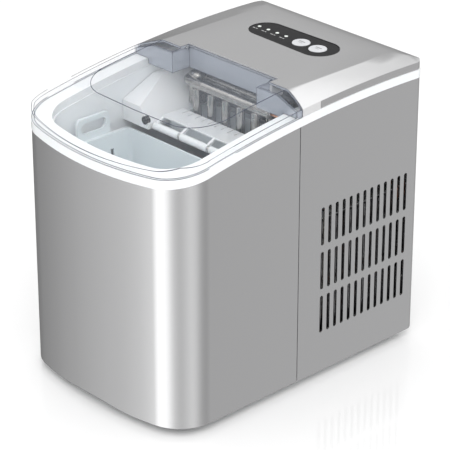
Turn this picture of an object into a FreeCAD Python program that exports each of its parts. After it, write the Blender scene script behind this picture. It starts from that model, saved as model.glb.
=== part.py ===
import FreeCAD, Part
import Sketcher
import math
import os

from FreeCAD import Placement, Rotation, Vector

# Countertop ice maker, in millimetres.  Origin: centre of the footprint on the floor.
# The bowed face that the user stands before looks along -Y; +X is its right side, +Z is up.

DIMENSIONS = {
    # outer body
    "body_wide": 248.0, "body_deep": 360.0, "body_high": 328.0,
    "front_radius": 407.0, "corner_radius": 46.0, "rear_radius": 12.0,
    "foot_high": 8.0, "foot_radius": 11.0, "shell_inset": 0.6, "shell_wall": 2.0,
    "shell_seam": -2.0, "seam_gap": 0.5, "bottom_round": 10.0, "bottom_lip": 20.0,
    # the white band is a slice between two arcs drawn about the same centre
    "arc_centre_y": 120.0, "arc_centre_z": -1055.0, "band_arc": 1360.0, "band_high": 9.0,
    "skirt_high": 8.0, "lid_gap": 0.3, "lid_inset": 1.0, "lid_wall": 2.5, "cover_wall": 3.0,
    "plateau_half": 93.0, "bevel_rise": 11.2, "crease_y": -114.0, "front_edge_z": 287.0,
    "rear_bevel_y": 158.0, "rear_edge_z": 321.6,
    # seam between the lid and the rear cover
    "strip_y": 8.5, "wing_y": -3.0, "tongue_half": 66.0, "tongue_y": 21.5, "lid_seam": 1.0,
    "hinge_y": 16.5, "hinge_z": 324.5, "pin_radius": 1.6, "hinge_round": 5.0,
    "lid_wall_low": 303.0,
    # side vents of the rear shell
    "vent_wide": 4.5, "vent_tall": 43.2, "vent_first": 32.5, "vent_pitch": 10.3,
    "vent_columns": 13, "vent_top": 199.4, "vent_step": 51.0, "vent_rows": 3,
    # inner tub
    "rim_half": 103.0, "rim_front": -162.0, "tub_half": 98.0, "tub_front": -157.0,
    "tub_corner": 38.0, "tub_wall": 2.0, "ledge_z": 240.0, "reservoir_floor": 62.0,
    "reservoir_rear": 14.0, "chamber_floor": 186.0, "chamber_rear": 72.0,
    # basket
    "basket_half": 90.0, "basket_front": -152.0, "basket_rear": -44.0, "basket_floor": 152.0,
    "basket_top": 245.0, "basket_wall": 2.0, "basket_corner": 24.0, "ear_near": -112.0,
    "ear_far": -68.0, "ear_top": 270.0,
    # ice works
    "rod_y": -34.0, "rod_z": 252.5, "rod_radius": 4.2, "shaft_radius": 2.5,
    "shovel_half": 59.5,
    "tray_half": 58.0, "tray_front": -14.0, "tray_rear": 42.0, "tray_floor": 232.0,
    "tray_top": 258.0, "tray_axis_y": 46.0, "tray_axis_z": 258.0,
    "finger_radius": 4.5, "finger_bottom": 240.0, "finger_top": 286.0,
    # control panel
    "panel_x": -1.5, "panel_y": 110.0, "panel_long": 121.0, "panel_wide": 43.0,
    "panel_recess": 2.0, "panel_thick": 1.4, "button_radius": 10.0, "power_x": 35.5,
    "select_x": 11.0,
    # machine space
    "compressor_x": -50.0, "compressor_y": 103.0, "compressor_radius": 50.0,
    "compressor_bottom": 22.0, "compressor_high": 140.0,
    "fan_y": 92.0, "fan_z": 104.0, "fan_radius": 48.0,
}

doc = FreeCAD.newDocument("ice_maker")
sheet = doc.addObject("Spreadsheet::Sheet", "Dims")
for row, (alias, value) in enumerate(DIMENSIONS.items(), start=1):
    sheet.set("A%d" % row, alias)
    sheet.set("B%d" % row, "%g" % value)
    sheet.setAlias("B%d" % row, alias)
doc.recompute()

NODES = []


def dim(alias):
    """A driving dimension, read back from the sheet."""
    return float(sheet.get(alias))


def named(thing, label):
    """Give a finished sub-part its label and list it for writing."""
    thing.Label = label
    NODES.append(thing)
    return thing


def feature(label, shape):
    """A sub-part whose outline is worked out below from the sheet."""
    thing = doc.addObject("Part::Feature", label)
    thing.Shape = shape
    return named(thing, label)


def bind(thing, sizes):
    """Tie properties of an object to expressions over the sheet."""
    for name, expression in sizes.items():
        thing.setExpression(name, expression)
    return thing


def cylinder(name, radius, height, base, axis=(0, 0, 1)):
    """A Part::Cylinder with radius and height as expressions, from base along axis."""
    thing = doc.addObject("Part::Cylinder", name)
    bind(thing, {"Radius": radius, "Height": height})
    thing.Placement = Placement(Vector(*base), Rotation(Vector(0, 0, 1), Vector(*axis)))
    return thing


def fuse(name, pieces):
    thing = doc.addObject("Part::MultiFuse", name)
    thing.Shapes = pieces
    return thing


def solid_box(x0, x1, y0, y1, z0, z1):
    return Part.makeBox(x1 - x0, y1 - y0, z1 - z0, Vector(x0, y0, z0))


def rod(start, end, radius):
    """A solid round bar between two points."""
    first = Vector(*start)
    along = Vector(*end) - first
    return Part.makeCylinder(radius, along.Length, first, along)


def ring(base, axis, outer, inner, length):
    """A round tube from base along axis."""
    whole = Part.makeCylinder(outer, length, Vector(*base), Vector(*axis))
    return whole.cut(Part.makeCylinder(inner, length, Vector(*base), Vector(*axis)))


def pipe(points, radius, bend):
    """A solid pipe: straight runs joined by tangent arcs of the given bend radius."""
    corners = [Vector(*point) for point in points]
    edges = []
    last = corners[0]
    for before, corner, after in zip(corners, corners[1:], corners[2:]):
        back = (before - corner).normalize()
        ahead = (after - corner).normalize()
        half_turn = (math.pi - back.getAngle(ahead)) / 2
        reach = bend * math.tan(half_turn)
        enter = corner + back * reach
        leave = corner + ahead * reach
        centre_way = (back + ahead).normalize()
        middle = corner + centre_way * (bend / math.cos(half_turn) - bend)
        edges.append(Part.LineSegment(last, enter).toShape())
        edges.append(Part.Arc(enter, middle, leave).toShape())
        last = leave
    edges.append(Part.LineSegment(last, corners[-1]).toShape())
    path = Part.Wire(edges)
    start_way = (corners[1] - corners[0]).normalize()
    section = Part.Wire([Part.makeCircle(radius, corners[0], start_way)])
    return path.makePipeShell([section], True, False)


def merged(shapes):
    """One solid from several that touch or overlap."""
    return shapes[0].fuse(shapes[1:]).removeSplitter()


# ---------------------------------------------------------------- outlines

def plan_face(half, front, rear, bow, corner, rear_corner, height=0.0):
    """Bowed front, rounded corners: the outline shared by the body, its rim and the tub."""
    corner_x = half - corner
    centre_y = front + bow
    corner_y = centre_y - math.sqrt((bow - corner) ** 2 - corner_x ** 2)
    lean = math.atan2(corner_x, centre_y - corner_y)
    tangent = Vector(bow * math.sin(lean), centre_y - bow * math.cos(lean), height)
    turn = (math.pi / 2 - lean) / 2
    middle = Vector(corner_x + corner * math.cos(turn), corner_y - corner * math.sin(turn), height)
    side_front = Vector(half, corner_y, height)
    side_rear = Vector(half, rear - rear_corner, height)
    diagonal = rear_corner * math.sqrt(0.5)
    rear_middle = Vector(half - rear_corner + diagonal, rear - rear_corner + diagonal, height)
    rear_end = Vector(half - rear_corner, rear, height)

    def mirror(point):
        return Vector(-point.x, point.y, point.z)

    edges = [
        Part.Arc(mirror(tangent), Vector(0, front, height), tangent),
        Part.Arc(tangent, middle, side_front),
        Part.LineSegment(side_front, side_rear),
        Part.Arc(side_rear, rear_middle, rear_end),
        Part.LineSegment(rear_end, mirror(rear_end)),
        Part.Arc(mirror(rear_end), mirror(rear_middle), mirror(side_rear)),
        Part.LineSegment(mirror(side_rear), mirror(side_front)),
        Part.Arc(mirror(side_front), mirror(middle), mirror(tangent)),
    ]
    return Part.Face(Part.Wire([edge.toShape() for edge in edges]))


def body_prism(inset, low, high):
    """The body's plan, drawn in by inset, between two heights."""
    half = dim("body_wide") / 2 - inset
    front = -dim("body_deep") / 2 + inset
    rear = dim("body_deep") / 2 - inset
    face = plan_face(half, front, rear, dim("front_radius") - inset,
                     dim("corner_radius") - inset, max(dim("rear_radius") - inset, 2.0), low)
    return face.extrude(Vector(0, 0, high - low))


def under_arc(extra):
    """Everything below the band's arc raised by extra, as a long round bar along X."""
    half = dim("body_wide")
    base = Vector(-half, dim("arc_centre_y"), dim("arc_centre_z"))
    return Part.makeCylinder(dim("band_arc") + extra, 2 * half, base, Vector(1, 0, 0))


def arc_height(y, extra=0.0):
    """Height of that arc above the floor at y."""
    reach = dim("band_arc") + extra
    return dim("arc_centre_z") + math.sqrt(reach ** 2 - (y - dim("arc_centre_y")) ** 2)


def side_profile(drop, round_radius, floor):
    """Side view of the body with its rounded lower rear and front corners, as a face in YZ."""
    x = -dim("body_wide")
    front = -dim("body_deep") / 2 + drop
    rear = dim("body_deep") / 2 - drop
    top = dim("body_high") + 20
    diagonal = round_radius * (1 - math.sqrt(0.5))
    small = round_radius * 0.5
    small_diagonal = small * (1 - math.sqrt(0.5))
    edges = [
        Part.LineSegment(Vector(x, front, top), Vector(x, front, floor + small)),
        Part.Arc(Vector(x, front, floor + small),
                 Vector(x, front + small_diagonal, floor + small_diagonal),
                 Vector(x, front + small, floor)),
        Part.LineSegment(Vector(x, front + small, floor), Vector(x, rear - round_radius, floor)),
        Part.Arc(Vector(x, rear - round_radius, floor),
                 Vector(x, rear - diagonal, floor + diagonal),
                 Vector(x, rear, floor + round_radius)),
        Part.LineSegment(Vector(x, rear, floor + round_radius), Vector(x, rear, top)),
        Part.LineSegment(Vector(x, rear, top), Vector(x, front, top)),
    ]
    face = Part.Face(Part.Wire([edge.toShape() for edge in edges]))
    return face.extrude(Vector(2 * dim("body_wide"), 0, 0))


def crown_slice(x, height_front, height_rear, flat_rear):
    """Side view of the crown at one x: a front arc, then a rear arc or straight line."""
    near = -dim("body_deep") / 2 - 5
    far = dim("body_deep") / 2 + 5
    floor = dim("foot_high") + 200

    def point(y, z):
        return Vector(x, y, z)

    front_arc = Part.Arc(point(near, height_front(near)), point(near / 2, height_front(near / 2)),
                         point(0, height_front(0)))
    if flat_rear:
        rear_line = Part.LineSegment(point(0, height_front(0)), point(far, height_front(0)))
        last = height_front(0)
    else:
        rear_line = Part.Arc(point(0, height_rear(0)), point(far / 2, height_rear(far / 2)),
                             point(far, height_rear(far)))
        last = height_rear(far)
    edges = [
        Part.LineSegment(point(near, floor), point(near, height_front(near))),
        front_arc,
        rear_line,
        Part.LineSegment(point(far, last), point(far, floor)),
        Part.LineSegment(point(far, floor), point(near, floor)),
    ]
    return Part.Wire([edge.toShape() for edge in edges])


def end_slopes(x0, x1):
    """Side view that cuts the crown's front slope and rear bevel, as a solid across X."""
    near = -dim("body_deep") / 2
    far = dim("body_deep") / 2
    crease = dim("crease_y")
    crease_z = crown_top(crease)
    low = dim("front_edge_z")
    middle = Vector(x0, (near + crease) / 2, (low + crease_z) / 2 + 1.5)
    floor = dim("foot_high") + 190
    top = dim("body_high")
    edges = [
        Part.LineSegment(Vector(x0, near - 9, floor), Vector(x0, near - 9, low - 4)),
        Part.LineSegment(Vector(x0, near - 9, low - 4), Vector(x0, near, low)),
        Part.Arc(Vector(x0, near, low), middle, Vector(x0, crease, crease_z)),
        Part.LineSegment(Vector(x0, crease, crease_z), Vector(x0, crease, top + 9)),
        Part.LineSegment(Vector(x0, crease, top + 9), Vector(x0, dim("rear_bevel_y"), top + 9)),
        Part.LineSegment(Vector(x0, dim("rear_bevel_y"), top + 9),
                         Vector(x0, dim("rear_bevel_y"), top)),
        Part.LineSegment(Vector(x0, dim("rear_bevel_y"), top),
                         Vector(x0, far, dim("rear_edge_z"))),
        Part.LineSegment(Vector(x0, far, dim("rear_edge_z")), Vector(x0, far + 9, floor)),
        Part.LineSegment(Vector(x0, far + 9, floor), Vector(x0, near - 9, floor)),
    ]
    face = Part.Face(Part.Wire([edge.toShape() for edge in edges]))
    return face.extrude(Vector(x1 - x0, 0, 0))


def wall_top(y):
    return arc_height(y, dim("band_high") + dim("skirt_high"))


def crown_top(y):
    return wall_top(y) + dim("bevel_rise")


def crown(inset, drop):
    """The closed outer form that the lid and the rear cover are hollowed from."""
    half = dim("body_wide") / 2
    crease = dim("plateau_half")
    inner = crown_slice(crease, crown_top, None, True)
    outer = crown_slice(half, wall_top, wall_top, False)
    right = Part.makeLoft([inner, outer], True, True)
    left = right.mirror(Vector(0, 0, 0), Vector(1, 0, 0))
    start = crown_slice(-crease, crown_top, None, True)
    middle = Part.Face(start).extrude(Vector(2 * crease, 0, 0))
    form = middle.fuse([right, left]).common(end_slopes(-half - 9, half + 9))
    form.translate(Vector(0, 0, -drop))
    return form.common(body_prism(inset, 180.0, dim("body_high") + 9))


def lid_region(shift, half):
    """Plan of the lid behind which the cover begins: two curved wings and a central tongue."""
    wing_x = dim("body_wide") / 2 + 6
    strip = dim("strip_y") + shift
    wing = dim("wing_y") + shift
    tongue = dim("tongue_y") + shift
    crease = dim("plateau_half")
    near = -dim("body_deep")
    low = 180.0
    bend_x = (wing_x + crease) / 2
    bend_y = (strip + wing) / 2 + 1.6
    right = [Vector(wing_x, near, low), Vector(wing_x, wing, low), Vector(bend_x, bend_y, low),
             Vector(crease, strip, low), Vector(half, strip, low), Vector(half, tongue, low)]
    left = [Vector(-point.x, point.y, low) for point in right]
    edges = [
        Part.LineSegment(left[0], right[0]),
        Part.LineSegment(right[0], right[1]),
        Part.Arc(right[1], right[2], right[3]),
        Part.LineSegment(right[3], right[4]),
        Part.LineSegment(right[4], right[5]),
        Part.LineSegment(right[5], left[5]),
        Part.LineSegment(left[5], left[4]),
        Part.LineSegment(left[4], left[3]),
        Part.Arc(left[3], left[2], left[1]),
        Part.LineSegment(left[1], left[0]),
    ]
    face = Part.Face(Part.Wire([edge.toShape() for edge in edges]))
    return face.extrude(Vector(0, 0, 200))


# ---------------------------------------------------------------- base and outer shells

HALF_WIDE = dim("body_wide") / 2
HALF_DEEP = dim("body_deep") / 2
FLOOR = dim("foot_high")
PAN_TOP = FLOOR + 4.7
FOOT_SPOTS = [(x, y) for x in (-92.0, 92.0) for y in (-132.0, 140.0)]


def make_base_pan():
    """Pressed steel tray that everything stands on, with a turned-up edge."""
    edge = 3.2
    outer = body_prism(edge, FLOOR + 2.7, FLOOR + 16)
    hollow = body_prism(edge + 1.5, PAN_TOP, FLOOR + 20)
    pan = outer.cut(hollow)
    behind = HALF_DEEP - dim("bottom_round") - 2
    pan = pan.cut(solid_box(-200, 200, behind, 200, 0, 60))
    for x, y in FOOT_SPOTS:
        pan = pan.cut(Part.makeCylinder(2.2, 20, Vector(x, y, 0)))
    return feature("base_pan", pan)


def make_feet():
    """Four soft feet, each turned to a slight cone with a screw recess."""
    body = doc.addObject("PartDesign::Body", "foot_body")
    plane = next(item for item in body.Origin.OriginFeatures if item.Role == "XZ_Plane")
    sketch = body.newObject("Sketcher::SketchObject", "foot_section")
    sketch.AttachmentSupport = [(plane, "")]
    sketch.MapMode = "FlatFace"
    radius = dim("foot_radius")
    high = dim("foot_high") + 2.6
    corners = [(2.6, 3.0), (5.0, 3.0), (5.0, 0.0), (radius - 1.5, 0.0), (radius, 1.5),
               (radius - 0.6, high), (2.6, high)]
    for start, end in zip(corners, corners[1:] + corners[:1]):
        sketch.addGeometry(Part.LineSegment(Vector(*start, 0), Vector(*end, 0)), False)
    revolution = body.newObject("PartDesign::Revolution", "foot_turned")
    revolution.Profile = sketch
    revolution.ReferenceAxis = (sketch, ["V_Axis"])
    revolution.Angle = 360
    doc.recompute()
    feet = []
    for x, y in FOOT_SPOTS:
        foot = body.Shape.copy()
        foot.translate(Vector(x, y, 0))
        feet.append(foot)
    return feature("rubber_feet", Part.makeCompound(feet))


def shell_solid():
    """The hollow outer skin below the band, front and rear in one, before it is parted."""
    inset = dim("shell_inset")
    wall = dim("shell_wall")
    lip = dim("bottom_lip")
    round_radius = dim("bottom_round")
    outer = body_prism(inset, FLOOR, dim("body_high"))
    outer = outer.common(side_profile(inset, round_radius, FLOOR))
    inner = body_prism(inset + wall, FLOOR - 5, dim("body_high") + 9)
    rounded = side_profile(inset + wall, round_radius - wall, FLOOR + wall)
    open_floor = solid_box(-200, 200, -200, HALF_DEEP - lip, FLOOR - 5, FLOOR + 30)
    inner = inner.common(rounded.fuse(open_floor))
    return outer.cut(inner).common(under_arc(0))


def vent_slots():
    """Rounded upright slots that run across the body, so both sides are cut alike."""
    radius = dim("vent_wide") / 2
    tall = dim("vent_tall")
    slots = []
    for column in range(int(dim("vent_columns"))):
        y = dim("vent_first") + column * dim("vent_pitch")
        for level in range(int(dim("vent_rows"))):
            top = dim("vent_top") - level * dim("vent_step")
            low = top - tall
            edges = [
                Part.LineSegment(Vector(-200, y - radius, low + radius),
                                 Vector(-200, y - radius, top - radius)),
                Part.Arc(Vector(-200, y - radius, top - radius), Vector(-200, y, top),
                         Vector(-200, y + radius, top - radius)),
                Part.LineSegment(Vector(-200, y + radius, top - radius),
                                 Vector(-200, y + radius, low + radius)),
                Part.Arc(Vector(-200, y + radius, low + radius), Vector(-200, y, low),
                         Vector(-200, y - radius, low + radius)),
            ]
            face = Part.Face(Part.Wire([edge.toShape() for edge in edges]))
            slots.append(face.extrude(Vector(400, 0, 0)))
    return Part.makeCompound(slots)


DRAIN_Y = -70.0
DRAIN_Z = 44.0
DRAIN_RADIUS = 15.0
GLAND_X = 70.0
GLAND_Z = 40.0
BACK_SCREWS = [(x, z) for x in (-100.0, 100.0) for z in (60.0, 250.0)]


def make_shells():
    skin = shell_solid()
    seam = dim("shell_seam")
    gap = dim("seam_gap") / 2
    front = skin.common(solid_box(-200, 200, -200, seam - gap, 0, 400))
    drain_hole = rod((-140, DRAIN_Y, DRAIN_Z), (-110, DRAIN_Y, DRAIN_Z), DRAIN_RADIUS + 0.5)
    front = front.cut(drain_hole)
    rear = skin.common(solid_box(-200, 200, seam + gap, 200, 0, 400)).cut(vent_slots())
    rear = rear.cut(rod((GLAND_X, 150, GLAND_Z), (GLAND_X, 200, GLAND_Z), 6.0))
    for x, z in BACK_SCREWS:
        rear = rear.cut(rod((x, 150, z), (x, 200, z), 1.8))
    back_slots = [solid_box(x, x + 4.0, 170, 190, 110, 180) for x in range(-60, 61, 10)]
    rear = rear.cut(Part.makeCompound(back_slots))
    feature("front_shell", front)
    feature("rear_shell", rear)


def make_upper_frame():
    """White moulding: the band round the body, with the tub's rim turned inward from it."""
    whole = body_prism(0, 200, 400).common(under_arc(dim("band_high"))).cut(under_arc(0))
    mouth = plan_face(dim("rim_half"), dim("rim_front"), dim("chamber_rear"), dim("front_radius"),
                      dim("tub_corner"), 10.0, 190.0).extrude(Vector(0, 0, 200))
    machine_well = solid_box(-112, 112, 84, 168, 190, 400)
    frame = whole.cut(mouth).cut(machine_well)
    for x, y in COVER_SCREWS:
        frame = frame.cut(Part.makeCylinder(1.6, 60, Vector(x, y, 280)))
    return feature("upper_frame", frame)


def crown_shell(wall):
    """Skin of the crown above the band."""
    inset = dim("lid_inset")
    skin = crown(inset, 0).cut(crown(inset + wall, wall))
    return skin.cut(under_arc(dim("band_high") + dim("lid_gap")))


def make_lid():
    """Clear lid: a skin with a tongue at the rear that turns on two pins."""
    wall = dim("lid_wall")
    skin = crown_shell(wall).common(lid_region(0, dim("tongue_half")))
    half = dim("tongue_half")
    tongue = dim("tongue_y")
    wing = dim("wing_y")
    low = dim("lid_wall_low")
    high = dim("body_high")
    walls = [solid_box(-half, half, tongue - wall, tongue, low, high)]
    for side in (-1, 1):
        near = side * half
        far = side * (half - wall)
        walls.append(solid_box(min(near, far), max(near, far), wing - wall, tongue, low, high))
        edge = side * (HALF_WIDE - 2)
        walls.append(solid_box(min(far, edge), max(far, edge), wing - wall, wing, low, high))
    # the walls hang into the tub's mouth and stop short of the band outside it
    mouth = dim("rim_half") - 2
    band = under_arc(dim("band_high") + dim("lid_gap"))
    band = band.cut(solid_box(-mouth, mouth, -200, 200, 200, 400))
    lid = merged([skin, merged(walls).common(crown(dim("lid_inset"), 0)).cut(band)])
    # the tongue's upper edge is rolled about the hinge line, so that it clears the cover
    axis = (dim("hinge_y"), dim("hinge_z"))
    corner = solid_box(-half - 1, half + 1, axis[0], tongue + 2, axis[1], 335)
    corner = corner.cut(rod((-half - 2, *axis), (half + 2, *axis), dim("hinge_round")))
    lid = lid.cut(corner)
    for side in (-1, 1):
        hole = rod((side * (half - 5), *axis), (side * (half + 1), *axis), dim("pin_radius"))
        lid = lid.cut(hole)
    # finger grips: short upright ribs on both flanks
    ribs = []
    for side in (-1, 1):
        for step in range(14):
            y = -116.0 + step * 2.1
            low = arc_height(y, dim("band_high")) + 1.5
            outer_x = side * (HALF_WIDE - dim("lid_inset") + 0.7)
            inner_x = side * (HALF_WIDE - dim("lid_inset") - 1.5)
            ribs.append(solid_box(min(outer_x, inner_x), max(outer_x, inner_x),
                                  y, y + 1.0, low, low + 6.0))
    return feature("lid", lid.fuse(ribs).removeSplitter())


def make_hinge_pins():
    axis = (dim("hinge_y"), dim("hinge_z"))
    half = dim("tongue_half")
    pins = [rod((side * (half - 2.4), *axis), (side * (half + 4.0), *axis),
                dim("pin_radius") - 0.02) for side in (-1, 1)]
    return feature("hinge_pins", Part.makeCompound(pins))


def stadium(name, long, wide, high, centre_x, centre_y, low):
    """A round-ended slab padded from a constrained sketch; sizes are expressions."""
    body = doc.addObject("PartDesign::Body", name)
    plane = next(item for item in body.Origin.OriginFeatures if item.Role == "XY_Plane")
    sketch = body.newObject("Sketcher::SketchObject", name + "_outline")
    sketch.AttachmentSupport = [(plane, "")]
    sketch.MapMode = "FlatFace"
    radius = 20.0
    reach = 40.0
    quarter = math.pi / 2
    for side, start in ((1, -quarter), (-1, quarter)):
        circle = Part.Circle(Vector(side * reach, 0, 0), Vector(0, 0, 1), radius)
        sketch.addGeometry(Part.ArcOfCircle(circle, start, start + math.pi), False)
    for side in (1, -1):
        run = Part.LineSegment(Vector(side * reach, side * radius, 0),
                               Vector(-side * reach, side * radius, 0))
        sketch.addGeometry(run, False)
    constraint = Sketcher.Constraint
    sketch.addConstraint(constraint("Tangent", 0, 2, 2, 1))
    sketch.addConstraint(constraint("Tangent", 2, 2, 1, 1))
    sketch.addConstraint(constraint("Tangent", 1, 2, 3, 1))
    sketch.addConstraint(constraint("Tangent", 3, 2, 0, 1))
    sketch.addConstraint(constraint("PointOnObject", 0, 3, -1))
    across = sketch.addConstraint(constraint("Radius", 0, radius))
    right = sketch.addConstraint(constraint("DistanceX", -1, 1, 0, 3, reach))
    left = sketch.addConstraint(constraint("DistanceX", 1, 3, -1, 1, reach))
    sketch.setExpression("Constraints[%d]" % across, "(%s) / 2" % wide)
    sketch.setExpression("Constraints[%d]" % right, "((%s) - (%s)) / 2" % (long, wide))
    sketch.setExpression("Constraints[%d]" % left, "((%s) - (%s)) / 2" % (long, wide))
    pad = body.newObject("PartDesign::Pad", name + "_slab")
    pad.Profile = sketch
    pad.setExpression("Length", high)
    body.Placement = Placement(Vector(centre_x, centre_y, low), Rotation())
    return body


COVER_SCREWS = [(x, y) for x in (-116.5, 116.5) for y in (40.0, 150.0)]


def make_cover():
    """Rear cover: the same skin behind the seam, with a notch for the lid's tongue."""
    wall = dim("cover_wall")
    outer = crown(dim("lid_inset"), 0).cut(under_arc(dim("band_high")))
    gap = dim("lid_seam")
    inner = dim("tongue_half") + gap
    skin = outer.cut(crown(dim("lid_inset") + wall, wall)).cut(lid_region(gap, inner))
    cheek = inner + 3.0
    rear = dim("tongue_y") + gap
    walls = [solid_box(-cheek, cheek, rear, rear + 2.5, 306, 330)]
    for side in (-1, 1):
        near = side * inner
        far = side * cheek
        walls.append(solid_box(min(near, far), max(near, far), dim("strip_y") + gap, rear + 2.5,
                               312, 330))
    cover = merged([skin, merged(walls).common(outer)])
    axis = (dim("hinge_y"), dim("hinge_z"))
    for side in (-1, 1):
        bearing = rod((side * (inner - 1), *axis), (side * (cheek + 1), *axis),
                      dim("pin_radius") + 0.04)
        cover = cover.cut(bearing)
    doc.recompute()
    recess = PANEL_RECESS.Shape.copy()
    window = PANEL_WINDOW.Shape.copy()
    cover = cover.cut(recess).cut(window)
    posts = []
    for x, y in COVER_SCREWS:
        base = arc_height(y, dim("band_high"))
        post = Part.makeCylinder(3.4, 328 - base, Vector(x, y, base))
        posts.append(post.common(outer).cut(Part.makeCylinder(1.3, 8, Vector(x, y, base - 1))))
    return feature("top_cover", cover.fuse(posts).removeSplitter())


# ---------------------------------------------------------------- control panel

PANEL_X = dim("panel_x")
PANEL_Y = dim("panel_y")
PANEL_LOW = dim("body_high") - dim("panel_recess")
PANEL_RECESS = stadium("panel_recess_form", "Dims.panel_long + 1", "Dims.panel_wide + 1", "6",
                       PANEL_X, PANEL_Y, PANEL_LOW)
PANEL_WINDOW = stadium("panel_window_form", "Dims.panel_long - 10", "Dims.panel_wide - 10", "12",
                       PANEL_X, PANEL_Y, PANEL_LOW - 6)
LED_SPOTS = [(x, PANEL_Y + 1) for x in (-53.0, -39.5, -26.0, -12.5)]
BUTTONS = {"power_button": dim("power_x"), "select_button": dim("select_x")}


def make_panel():
    slab = stadium("fascia_form", "Dims.panel_long", "Dims.panel_wide", "Dims.panel_thick",
                   PANEL_X, PANEL_Y, PANEL_LOW)
    doc.recompute()
    fascia = slab.Shape.copy()
    for x in BUTTONS.values():
        fascia = fascia.cut(Part.makeCylinder(dim("button_radius") + 0.3, 20,
                                              Vector(x, PANEL_Y, 310)))
    for x, y in LED_SPOTS:
        fascia = fascia.cut(Part.makeCylinder(2.05, 20, Vector(x, y, 310)))
    feature("control_fascia", fascia)
    lenses = [Part.makeCylinder(2.0, 3.0, Vector(x, y, PANEL_LOW - 1.4)) for x, y in LED_SPOTS]
    feature("led_lenses", Part.makeCompound(lenses))
    board = solid_box(PANEL_X - 54, PANEL_X + 54, PANEL_Y - 20, PANEL_Y + 20, 314.4, 316)
    spacers = [Part.makeCylinder(1.6, 9, Vector(PANEL_X + dx, PANEL_Y + dy, 316))
               for dx in (-30, 30) for dy in (-18.4, 18.4)]
    chips = [solid_box(x - 3.1, x + 3.1, PANEL_Y - 3.1, PANEL_Y + 3.1, 316, 319.5)
             for x in BUTTONS.values()]
    chips += [Part.makeCylinder(1.5, 6.0, Vector(x, y, 316)) for x, y in LED_SPOTS]
    feature("display_board", merged([board] + chips + spacers))
    for label, x in BUTTONS.items():
        face = cylinder(label + "_face", "Dims.button_radius", "3.2", (x, PANEL_Y, 324.8))
        crowned = doc.addObject("Part::Fillet", label + "_crowned")
        crowned.Base = face
        doc.recompute()
        top_edge = next(index for index, edge in enumerate(face.Shape.Edges, start=1)
                        if edge.BoundBox.ZMin > 327.9)
        crowned.Edges = [(top_edge, 1.2, 1.2)]
        stem = cylinder(label + "_stem", "3", "4", (x, PANEL_Y, 321.0))
        named(fuse(label, [crowned, stem]), label)


# ---------------------------------------------------------------- tub and basket

def offset_plan(half, front, rear, corner, low, high, rear_corner=10.0):
    face = plan_face(half, front, rear, dim("front_radius"), corner, rear_corner, low)
    return face.extrude(Vector(0, 0, high - low))


def tub_form(grow, drop):
    """The tub's inner form grown by its wall: tapered neck, reservoir and upper chamber."""
    ledge = dim("ledge_z") - drop
    corner = dim("tub_corner") + grow
    rear = dim("chamber_rear") + grow
    low_wire = plan_face(dim("tub_half") + 3 + grow, dim("rim_front") + 2 - grow, rear,
                         dim("front_radius"), corner, 10.0 + grow, ledge).OuterWire
    top_wire = plan_face(dim("rim_half") + 1.4 * grow, dim("rim_front") - 1.4 * grow, rear,
                         dim("front_radius"), corner, 10.0 + grow, 330.0).OuterWire
    neck = Part.makeLoft([low_wire, top_wire], True, True)
    half = dim("tub_half") + grow
    front = dim("tub_front") - grow
    reservoir = offset_plan(half, front, dim("reservoir_rear") + grow, corner,
                            dim("reservoir_floor") - drop, ledge + 1)
    chamber = offset_plan(half, front + 40, rear, corner, dim("chamber_floor") - drop, ledge + 1)
    return neck.fuse([reservoir, chamber])


PIPE_Z = dim("finger_top") + 5
PIPE_HOLES = ((58.0, 4.2), (76.0, 1.9))


def make_tub():
    wall = dim("tub_wall")
    tub = tub_form(wall, wall).cut(tub_form(0, 0)).common(under_arc(0))
    tray_line = (dim("tray_axis_y"), dim("tray_axis_z"))
    tub = tub.cut(rod((-120, *tray_line), (-90, *tray_line), 3.2))
    for x, radius in PIPE_HOLES:
        tub = tub.cut(rod((x, 66, PIPE_Z), (x, 80, PIPE_Z), radius))
    tub = tub.cut(Part.makeCylinder(3.0, 20, Vector(32, 27, dim("chamber_floor") - 8)))
    outlet = dim("reservoir_floor") - 10
    tub = tub.cut(Part.makeCylinder(4.0, 20, Vector(0, -60, outlet)))
    tub = tub.cut(Part.makeCylinder(4.0, 20, Vector(-70, DRAIN_Y, outlet)))
    feature("tub", tub)
    jacket = offset_plan(110, -168, dim("reservoir_rear") + 6, 40, 76, 184, 6.0)
    jacket = jacket.cut(tub_form(wall + 0.4, wall + 0.4))
    feature("tub_foam", jacket)


def ear_frame(side):
    """Upright grip beside the basket: a rounded frame round an oval finger hole."""
    outer_x = side * 96.0
    inner_x = side * 92.4
    low_x = min(outer_x, inner_x)
    near = dim("ear_near")
    far = dim("ear_far")
    top = dim("ear_top")
    low = dim("basket_top") - 3
    plate = solid_box(low_x, low_x + 3.6, near, far, low, top)
    rims = [edge for edge in plate.Edges
            if abs(edge.BoundBox.ZMin - top) < 1e-6 and edge.BoundBox.XLength > 3]
    plate = plate.makeFillet(6.0, rims)
    middle_z = 258.5
    half = 10.5
    hole = [rod((low_x - 1, y, middle_z), (low_x + 5, y, middle_z), 6.5)
            for y in ((near + far) / 2 - half, (near + far) / 2 + half)]
    hole.append(solid_box(low_x - 1, low_x + 5, (near + far) / 2 - half, (near + far) / 2 + half,
                          middle_z - 6.5, middle_z + 6.5))
    return plate.cut(merged(hole))


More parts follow.
